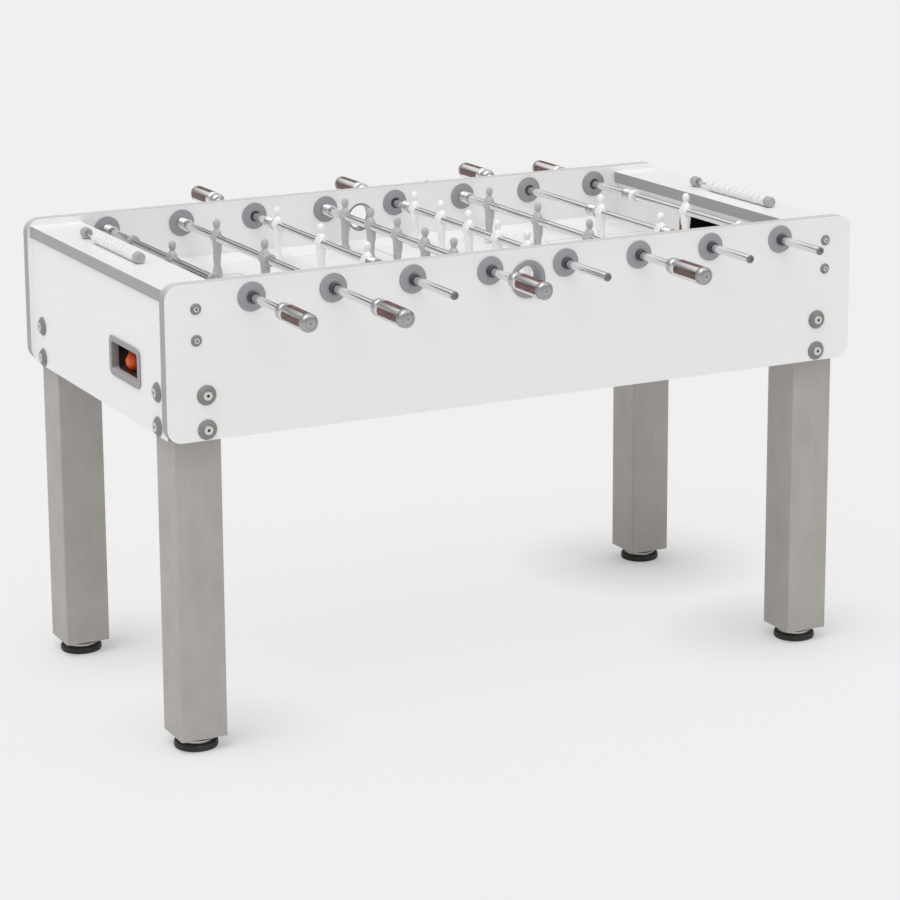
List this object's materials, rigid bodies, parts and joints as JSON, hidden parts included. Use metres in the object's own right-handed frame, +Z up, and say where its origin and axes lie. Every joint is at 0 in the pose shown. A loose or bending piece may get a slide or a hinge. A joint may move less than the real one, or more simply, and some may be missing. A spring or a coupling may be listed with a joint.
{
  "type": "foosball table",
  "caption": "White laminated foosball table on square grey legs, with sliding and spinning player rods, ball returns, serve rings and bead counters.",
  "frame": {"origin": "on the floor, below the middle of the table", "axes": "+X along the table towards the white keeper's end, +Y across it along the rods towards the far player, +Z up"},
  "size_m": [1.452, 1.343, 0.8918],
  "materials": {
    "white_laminate": "white laminated board with pale grey edge bands",
    "pitch": "white laminate with pale grey pitch lines",
    "bare_wood": "bare softwood",
    "black_liner": "matt black moulding",
    "tray": "matt dark brown moulding",
    "grey_trim": "satin grey moulding",
    "leg": "warm silver grey, finely brushed",
    "foot": "black pad with a bright ring above it",
    "fastener": "grey cup washer and lighter screw head",
    "flange": "satin mid grey moulding",
    "chrome": "polished chrome",
    "ball": "satin orange",
    "counter_rail": "chromed rail between grey posts",
    "bead": "satin white",
    "rod": "polished chromed tube with dark grey end cap",
    "handle": "polished aluminium with brown inlaid stripes and a grey cap",
    "bush": "dark grey nylon",
    "spring": "bright spring steel",
    "grey_team": "satin light grey moulding",
    "white_team": "satin white moulding"
  },
  "bodies": {
    "cabinet": {"near_side_panel": "white_laminate", "far_side_panel": "white_laminate", "end_panels": "white_laminate", "playfield": "pitch", "side_ramps": "white_laminate", "field_supports": "bare_wood", "top_boards": "white_laminate", "goal_walls": "white_laminate", "goal_boxes": "black_liner", "ball_trays": "tray", "return_frames": "grey_trim", "legs": "leg", "levelling_feet": "foot", "leg_bolts": "fastener", "panel_screws": "fastener", "bearing_flanges": "flange", "serve_cups": "chrome", "balls": "ball", "score_rails": "counter_rail"},
    "left_beads": {"left_score_beads": "bead"},
    "right_beads": {"right_score_beads": "bead"},
    "bushes_1": {"bushes_1": "bush", "springs_1": "spring"},
    "rod_1": {"rod_1": "rod", "handle_1": "handle", "figures_1": "grey_team"},
    "bushes_2": {"bushes_2": "bush", "springs_2": "spring"},
    "rod_2": {"rod_2": "rod", "handle_2": "handle", "figures_2": "grey_team"},
    "bushes_3": {"bushes_3": "bush"},
    "rod_3": {"rod_3": "rod", "handle_3": "handle", "figures_3": "white_team", "springs_3": "spring"},
    "bushes_4": {"bushes_4": "bush", "springs_4": "spring"},
    "rod_4": {"rod_4": "rod", "handle_4": "handle", "figures_4": "grey_team"},
    "bushes_5": {"bushes_5": "bush"},
    "rod_5": {"rod_5": "rod", "handle_5": "handle", "figures_5": "white_team", "springs_5": "spring"},
    "bushes_6": {"bushes_6": "bush", "springs_6": "spring"},
    "rod_6": {"rod_6": "rod", "handle_6": "handle", "figures_6": "grey_team"},
    "bushes_7": {"bushes_7": "bush"},
    "rod_7": {"rod_7": "rod", "handle_7": "handle", "figures_7": "white_team", "springs_7": "spring"},
    "bushes_8": {"bushes_8": "bush"},
    "rod_8": {"rod_8": "rod", "handle_8": "handle", "figures_8": "white_team", "springs_8": "spring"}
  },
  "joints": [
    {"name": "rod_1_spin", "type": "hinge", "parent": "cabinet", "child": "bushes_1", "pos_m": [-0.56, 0, 0.848], "axis": [0, 1, 0], "range_deg": [-235, 47]},
    {"name": "rod_1_slide", "type": "slide", "parent": "bushes_1", "child": "rod_1", "axis": [0, 1, 0], "range_m": [-0.085, 0.085]},
    {"name": "rod_2_spin", "type": "hinge", "parent": "cabinet", "child": "bushes_2", "pos_m": [-0.4, 0, 0.848], "axis": [0, 1, 0], "continuous": true},
    {"name": "rod_2_slide", "type": "slide", "parent": "bushes_2", "child": "rod_2", "axis": [0, 1, 0], "range_m": [-0.092, 0.1335]},
    {"name": "rod_3_spin", "type": "hinge", "parent": "cabinet", "child": "bushes_3", "pos_m": [-0.24, 0, 0.848], "axis": [0, 1, 0], "continuous": true},
    {"name": "rod_3_slide", "type": "slide", "parent": "bushes_3", "child": "rod_3", "axis": [0, 1, 0], "range_m": [-0.1155, 0.0675]},
    {"name": "rod_4_spin", "type": "hinge", "parent": "cabinet", "child": "bushes_4", "pos_m": [-0.08, 0, 0.848], "axis": [0, 1, 0], "continuous": true},
    {"name": "rod_4_slide", "type": "slide", "parent": "bushes_4", "child": "rod_4", "axis": [0, 1, 0], "range_m": [-0.0715, 0.0455]},
    {"name": "rod_5_spin", "type": "hinge", "parent": "cabinet", "child": "bushes_5", "pos_m": [0.08, 0, 0.848], "axis": [0, 1, 0], "continuous": true},
    {"name": "rod_5_slide", "type": "slide", "parent": "bushes_5", "child": "rod_5", "axis": [0, 1, 0], "range_m": [-0.0735, 0.0435]},
    {"name": "rod_6_spin", "type": "hinge", "parent": "cabinet", "child": "bushes_6", "pos_m": [0.24, 0, 0.848], "axis": [0, 1, 0], "continuous": true},
    {"name": "rod_6_slide", "type": "slide", "parent": "bushes_6", "child": "rod_6", "axis": [0, 1, 0], "range_m": [-0.1125, 0.0705]},
    {"name": "rod_7_spin", "type": "hinge", "parent": "cabinet", "child": "bushes_7", "pos_m": [0.4, 0, 0.848], "axis": [0, 1, 0], "continuous": true},
    {"name": "rod_7_slide", "type": "slide", "parent": "bushes_7", "child": "rod_7", "axis": [0, 1, 0], "range_m": [-0.1065, 0.119]},
    {"name": "rod_8_spin", "type": "hinge", "parent": "cabinet", "child": "bushes_8", "pos_m": [0.56, 0, 0.848], "axis": [0, 1, 0], "range_deg": [-47, 235]},
    {"name": "rod_8_slide", "type": "slide", "parent": "bushes_8", "child": "rod_8", "axis": [0, 1, 0], "range_m": [-0.055, 0.115]},
    {"name": "left_beads_slide", "type": "slide", "parent": "cabinet", "child": "left_beads", "axis": [0, 1, 0], "range_m": [0, 0.046]},
    {"name": "right_beads_slide", "type": "slide", "parent": "cabinet", "child": "right_beads", "axis": [0, 1, 0], "range_m": [0, 0.046]}
  ]
}
